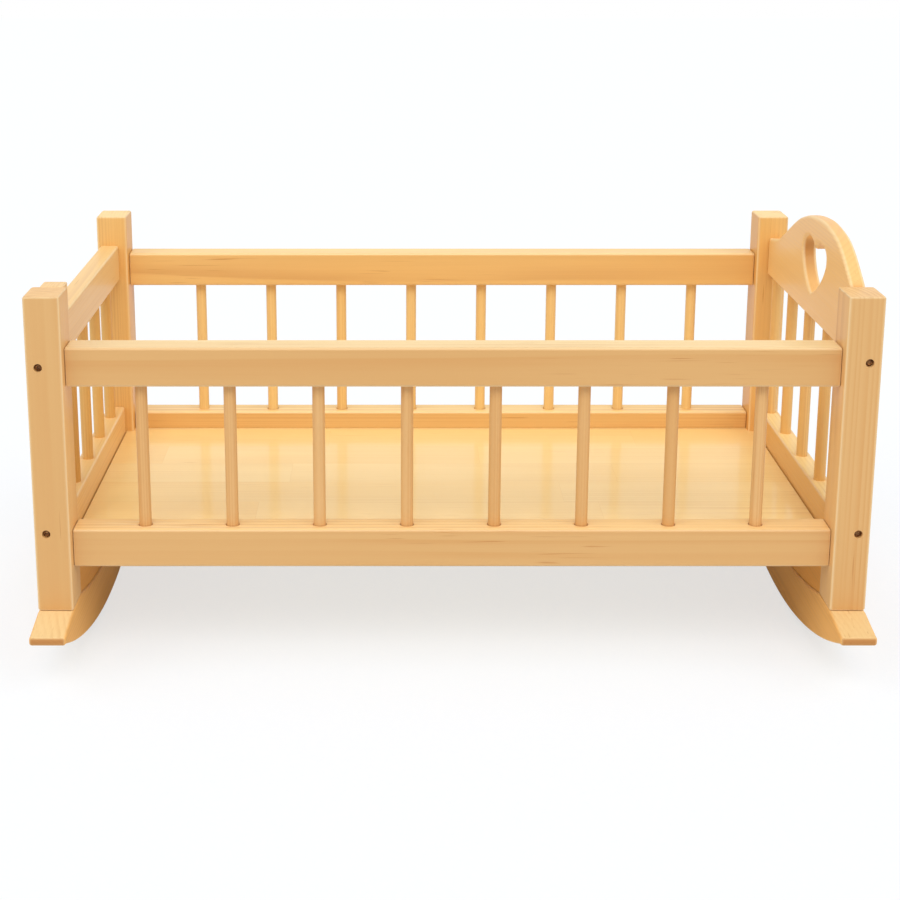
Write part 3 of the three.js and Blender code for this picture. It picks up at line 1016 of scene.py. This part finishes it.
def rocker_outline(node):
    """Along the rolling arc from front to back, and over the top to the front."""
    post_low, post_high = corners("foot_back_post")
    edge_reach = corners(node)[1].y - NOSE_RADIUS
    bottom_z = ROCKER_RADIUS - math.sqrt(ROCKER_RADIUS**2 - edge_reach**2)
    tip_z = bottom_z + TIP_THICKNESS
    seat_z = tip_z + TIP_SLOPE_FALL
    sweep = math.asin(edge_reach / ROCKER_RADIUS)
    rolling = []
    for i in range(ROLLING_STEPS + 1):
        angle = (2 * i / ROLLING_STEPS - 1) * sweep
        rolling.append((ROCKER_RADIUS * math.sin(angle), ROCKER_RADIUS * (1 - math.cos(angle))))
    points = rolling + nose_points(edge_reach, bottom_z, tip_z, 1)
    points.append((post_high.y + SEAT_LAND, seat_z))
    points += rocker_top_arc(post_low.y, post_low.y, seat_z - ROCKER_TOP_SAG, 0)
    points.append((-post_high.y - SEAT_LAND, seat_z))
    return points + nose_points(-edge_reach, bottom_z, tip_z, -1)[::-1]


def add_rockers_and_aprons():
    post_low = corners("foot_back_post")[0]
    band = post_low.z - POST_JOINT_GAP - ROCKER_TOP_SAG
    for end in ("foot", "head"):
        rocker = end + "_rocker"
        piece = sawn_piece("fine_" + rocker, [rocker_outline(rocker)], rocker, ROCKER_EDGE)
        enter(round_normals(piece), "rocker_pine", [rocker], Y)
        apron = end + "_apron"
        high = corners(apron)[1]
        arc = rocker_top_arc(high.y, post_low.y, band, APRON_LIFT)
        outline = [(-high.y, high.z)] + arc[::-1] + [(high.y, high.z)]
        piece = sawn_piece("fine_" + apron, [outline], apron, APRON_EDGE)
        enter(round_normals(piece), "rocker_pine", [apron], Y, "apron_pine")


PANEL_END_GAP = 0.8 * MM
PANEL_NOTCH_GAP = 0.3 * MM
PANEL_EDGE = 0.4 * MM


def add_base_panel():
    """The panel with its corners notched round the posts."""
    low, high = corners("base_panel")
    long_x = corners("head_bottom_rail")[0].x - PANEL_END_GAP
    notch_y = corners("foot_back_post")[0].y - PANEL_NOTCH_GAP
    outline = [
        (high.x, low.y),
        (high.x, -notch_y),
        (long_x, -notch_y),
        (long_x, notch_y),
        (high.x, notch_y),
        (high.x, high.y),
        (-high.x, high.y),
        (-high.x, notch_y),
        (-long_x, notch_y),
        (-long_x, -notch_y),
        (-high.x, -notch_y),
        (-high.x, low.y),
    ]
    shape = bmesh.new()
    bottom = shape.faces.new([shape.verts.new((x, y, low.z)) for x, y in outline])
    raised = bmesh.ops.extrude_face_region(shape, geom=[bottom])
    for vertex in (item for item in raised["geom"] if isinstance(item, bmesh.types.BMVert)):
        vertex.co.z = high.z
    round_over(shape, shape.edges[:], PANEL_EDGE, EASE_SEGMENTS)
    bmesh.ops.recalc_face_normals(shape, faces=shape.faces)
    piece = add_object("fine_base_panel", mesh_from(shape, "base_panel"))
    enter(round_normals(piece), "panel_pine", ["base_panel"], X)


# Dowel rows and screws, by geometry nodes

DOWEL_SIDES = 36
DOWEL_SHIFT_RANGE = {0: (-4.0, 0.045, 0.045), 1: (4.0, 0.1, 0.1)}
FIRST_DOWEL_SEED = 5
VECTOR = {"data_type": "FLOAT_VECTOR"}


def new_geometry_tree(name, inputs):
    """A tree that gives geometry, with inputs named and typed in order."""
    tree = bpy.data.node_groups.new(name, "GeometryNodeTree")
    for title, kind in inputs:
        tree.interface.new_socket(name=title, in_out="INPUT", socket_type="NodeSocket" + kind)
    tree.interface.new_socket(name="Geometry", in_out="OUTPUT", socket_type="NodeSocketGeometry")
    return tree


def dowel_row_tree():
    """A row of dowels from First to Last, each with its own stretch of grain."""
    inputs = [
        ("Count", "Int"),
        ("First", "Vector"),
        ("Last", "Vector"),
        ("Length", "Float"),
        ("Radius", "Float"),
        ("Seed", "Int"),
        ("Wood", "Material"),
    ]
    tree = new_geometry_tree("dowel row", inputs)
    graph = Graph(tree)
    given = graph.node("NodeGroupInput")

    def store(geometry, name, value, domain="POINT"):
        sockets = {"Geometry": geometry, "Name": name, "Value": value}
        settings = {**VECTOR, "domain": domain}
        return graph.node("GeometryNodeStoreNamedAttribute", settings, sockets)

    def read(name):
        return graph.node("GeometryNodeInputNamedAttribute", VECTOR, {"Name": name})

    half = given["Length"] * 0.5
    ends = {"Start": graph.joined(0.0, 0.0, half * -1), "End": graph.joined(0.0, 0.0, half)}
    rod = graph.node("GeometryNodeCurvePrimitiveLine", {}, ends)
    sockets = {"Resolution": DOWEL_SIDES, "Radius": given["Radius"]}
    section = graph.node("GeometryNodeCurvePrimitiveCircle", {}, sockets)
    sockets = {"Curve": rod, "Profile Curve": section, "Fill Caps": True}
    dowel = graph.node("GeometryNodeCurveToMesh", {}, sockets)
    x, y, z = graph.parts(graph.node("GeometryNodeInputPosition"))
    dowel = store(dowel, "grain", graph.joined(z, x, y))
    sockets = {
        "Count": given["Count"],
        "Start Location": given["First"],
        "Offset": given["Last"],
    }
    places = graph.node("GeometryNodeMeshLine", {"mode": "END_POINTS"}, sockets)
    sockets = {"Points": places, "Instance": dowel}
    row = graph.node("GeometryNodeInstanceOnPoints", {}, sockets)
    sockets = {**DOWEL_SHIFT_RANGE, "Seed": given["Seed"]}
    row = store(row, "shift", graph.node("FunctionNodeRandomValue", VECTOR, sockets), "INSTANCE")
    row = graph.node("GeometryNodeRealizeInstances", {}, {"Geometry": row})
    row = store(row, "grain", graph.moved(read("grain"), read("shift")))
    row = graph.node("GeometryNodeRemoveAttribute", {}, {"Geometry": row, "Name": "shift"})
    sockets = {"Geometry": row, "Material": given["Wood"]}
    row = graph.node("GeometryNodeSetMaterial", {}, sockets)
    graph.node("NodeGroupOutput", {}, {"Geometry": row})
    return tree


def grown(name, tree, values, base=None):
    """The plain mesh that a tree makes with the given values for its inputs."""
    piece = add_object(name, base or bpy.data.meshes.new(name))
    modifier = piece.modifiers.new("made by rule", "NODES")
    modifier.node_group = tree
    for item in tree.interface.items_tree:
        if item.in_out == "INPUT" and item.name in values:
            modifier[item.identifier] = values[item.name]
    return baked(piece)


def add_dowels():
    tree = dowel_row_tree()
    for seed, (row, nodes) in enumerate(ROWS.items(), FIRST_DOWEL_SEED):
        low, high = corners(nodes[0])
        values = {
            "Count": len(nodes),
            "First": middle_of(nodes[0]),
            "Last": middle_of(nodes[-1]),
            "Length": high.z - low.z,
            "Radius": SPINDLE_RADIUS,
            "Seed": seed,
            "Wood": FINISHES["spindle_pine"],
        }
        piece = grown("fine_%s_spindles" % row, tree, values)
        smooth_faces(piece.data)
        enter(piece, "spindle_pine", nodes, look=ROW_LOOKS[row])


SCREW_HEAD_RADIUS = 2.4 * MM
SCREW_CROWN_RISE = 0.9 * MM
SCREW_CROWN_ANGLES = (0, 0.35, 0.7, 1.05, 1.35)
SCREW_RIM_START = 0.95 * MM
SCREW_RIM_END = 1.3 * MM
SCREW_SHANK_START = 1.6 * MM
SCREW_SHANK_RADIUS = 1.3 * MM
SCREW_TIP_LENGTH = 3 * MM
SCREW_SIDES = 32
RECESS_SIZE = (2.9 * MM, 0.62 * MM, 1.5 * MM, 1)
RECESS_TURN = 0.4
SCREW_TURN_SEED = 8


def screw_mesh(length):
    """A pan-headed wood screw with a cross recess, its head at 0 and its tip up +Z."""
    profile = []
    for angle in SCREW_CROWN_ANGLES:
        sunk = SCREW_CROWN_RISE * (1 - math.cos(angle))
        profile.append((SCREW_HEAD_RADIUS * math.sin(angle), sunk))
    profile += [
        (SCREW_HEAD_RADIUS, SCREW_RIM_START),
        (SCREW_HEAD_RADIUS, SCREW_RIM_END),
        (SCREW_SHANK_RADIUS, SCREW_SHANK_START),
        (SCREW_SHANK_RADIUS, length - SCREW_TIP_LENGTH),
        (0, length),
    ]
    piece = add_object("screw", mesh_from(turned(profile, SCREW_SIDES), "screw"))
    for turn in (0, math.pi / 2):
        arm = bmesh.new()
        bmesh.ops.create_cube(arm, size=1)
        place = Matrix.Rotation(turn + RECESS_TURN, 4, "Z") @ Matrix.Diagonal(RECESS_SIZE)
        bore_through(piece, [(arm, place)])
    smooth_faces(piece.data)
    return piece


def screw_tree(screw):
    """A screw on each point of a mesh, turned as the point's turn attribute says."""
    tree = new_geometry_tree("screws on points", [("Points", "Geometry"), ("Steel", "Material")])
    graph = Graph(tree)
    given = graph.node("NodeGroupInput")
    model = graph.node("GeometryNodeObjectInfo", {}, {"Object": screw})
    turn = graph.node("GeometryNodeInputNamedAttribute", VECTOR, {"Name": "turn"})
    sockets = {"Points": given["Points"], "Instance": model["Geometry"], "Rotation": turn}
    screws = graph.node("GeometryNodeInstanceOnPoints", {}, sockets)
    screws = graph.node("GeometryNodeRealizeInstances", {}, {"Geometry": screws})
    sockets = {"Geometry": screws, "Material": given["Steel"]}
    screws = graph.node("GeometryNodeSetMaterial", {}, sockets)
    graph.node("NodeGroupOutput", {}, {"Geometry": screws})
    return tree


def add_screws():
    nodes = [s["node"] for s in frame["record"]["subparts"] if s["node"].startswith("screw_")]
    draw = random.Random(SCREW_TURN_SEED)
    heads, turns = [], []
    for node in nodes:
        low, high = corners(node)
        middle = (low + high) / 2
        front = middle.y < 0
        heads.append((middle.x, low.y if front else high.y, middle.z))
        inward = Matrix.Rotation(-math.pi / 2 if front else math.pi / 2, 3, "X")
        turns.extend((inward @ Matrix.Rotation(draw.uniform(0, math.pi), 3, "Z")).to_euler())
    low, high = corners(nodes[0])
    points = bpy.data.meshes.new("screw places")
    points.from_pydata(heads, [], [])
    points.attributes.new("turn", "FLOAT_VECTOR", "POINT").data.foreach_set("vector", turns)
    screw = screw_mesh(high.y - low.y)
    steel = {"Steel": FINISHES["screw_steel"]}
    piece = grown("fine_screws", screw_tree(screw), steel, points)
    bpy.data.objects.remove(screw)
    enter(piece, "screw_steel", nodes)


add_posts_and_rails()
add_end_rails()
add_headboard()
add_rockers_and_aprons()
add_base_panel()
add_dowels()
add_screws()


# Stage, light and camera

FLOOR_HALF_SIZE = 6
PAPER_SCALE = 300
PAPER_TONES = ((230, 236, 244), (236, 242, 250))
WHITE = (1, 1, 1, 1)
FLOOR_GLOW = 1.04
SEEN_GLOW_SHARE = 0.645
MIRRORED_GLOW_SHARE = 0.2
STUDIO_STRENGTH = 0.5

# Each soft light's name, strength, spread, lean to the front and swing to a side
SOFT_LIGHTS = [
    ("front soft light", 1.2, 30, 43, 0),
    ("foot side soft light", 0.75, 46, 48, -64),
    ("head side soft light", 0.75, 46, 48, 64),
]

SENSOR_WIDTH = 36
LENS = 67.224
VIEW_SHIFT = (0.0611, -0.1667)
VIEW_REACH = 40
VIEW_PLACE = (-36.84 * MM, -1164.6 * MM, 499 * MM)
VIEW_DIP = 13.498


def add_floor():
    """White paper that keeps the cradle's shadow and glows for a white ground."""
    shape = bmesh.new()
    bmesh.ops.create_grid(shape, x_segments=1, y_segments=1, size=FLOOR_HALF_SIZE)
    floor = add_object("floor", mesh_from(shape, "floor"))
    material, graph = new_material("white paper floor")
    place = graph.node("ShaderNodeTexCoord", output="Object")
    fine_place = graph.scaled(place, PAPER_SCALE, PAPER_SCALE, PAPER_SCALE)
    fibres = graph.noise(fine_place, detail=3.0)
    dark, light = PAPER_TONES
    tone = graph.mixed(fibres, linear(*dark), linear(*light))
    paper = graph.node("ShaderNodeBsdfDiffuse", {}, {"Color": tone})
    glow = graph.node("ShaderNodeEmission", {}, {"Color": WHITE, "Strength": FLOOR_GLOW})
    rays = graph.node("ShaderNodeLightPath")
    mirrored = rays["Is Glossy Ray"] + rays["Is Transmission Ray"]
    glow_share = rays["Is Camera Ray"] * SEEN_GLOW_SHARE + mirrored * MIRRORED_GLOW_SHARE
    surface = graph.node("ShaderNodeMixShader", {}, {0: glow_share, 1: paper, 2: glow})
    graph.node("ShaderNodeOutputMaterial", {}, {"Surface": surface})
    floor.data.materials.append(material)


def add_world(strength):
    """An even white studio, which is dimmer as it lights than as it is seen."""
    world = bpy.data.worlds.new("white studio")
    world.use_nodes = True
    graph = Graph(world.node_tree)
    rays = graph.node("ShaderNodeLightPath")
    seen = rays["Is Camera Ray"] + rays["Is Glossy Ray"] + rays["Is Transmission Ray"]
    level = strength + seen * (1 - strength)
    light = graph.node("ShaderNodeBackground", {}, {"Color": WHITE, "Strength": level})
    graph.node("ShaderNodeOutputWorld", {}, {"Surface": light})
    bpy.context.scene.world = world


def add_soft_light(name, strength, spread, lean, swing):
    """Broad soft light from overhead, leaning to the front and swung to a side."""
    light = bpy.data.lights.new(name, "SUN")
    light.energy = strength
    light.angle = math.radians(spread)
    lamp = add_object(name, light)
    lamp.rotation_euler = (math.radians(lean), 0, math.radians(swing))


def add_camera():
    data = bpy.data.cameras.new("view")
    data.sensor_width = SENSOR_WIDTH
    data.lens = LENS
    data.shift_x, data.shift_y = VIEW_SHIFT
    data.clip_end = VIEW_REACH
    camera = add_object("view", data)
    camera.location = VIEW_PLACE
    camera.rotation_euler = (math.radians(90 - VIEW_DIP), 0, 0)
    bpy.context.scene.camera = camera


add_floor()
add_world(STUDIO_STRENGTH)
for settings in SOFT_LIGHTS:
    add_soft_light(*settings)
add_camera()
bpy.context.scene.view_settings.view_transform = "Standard"
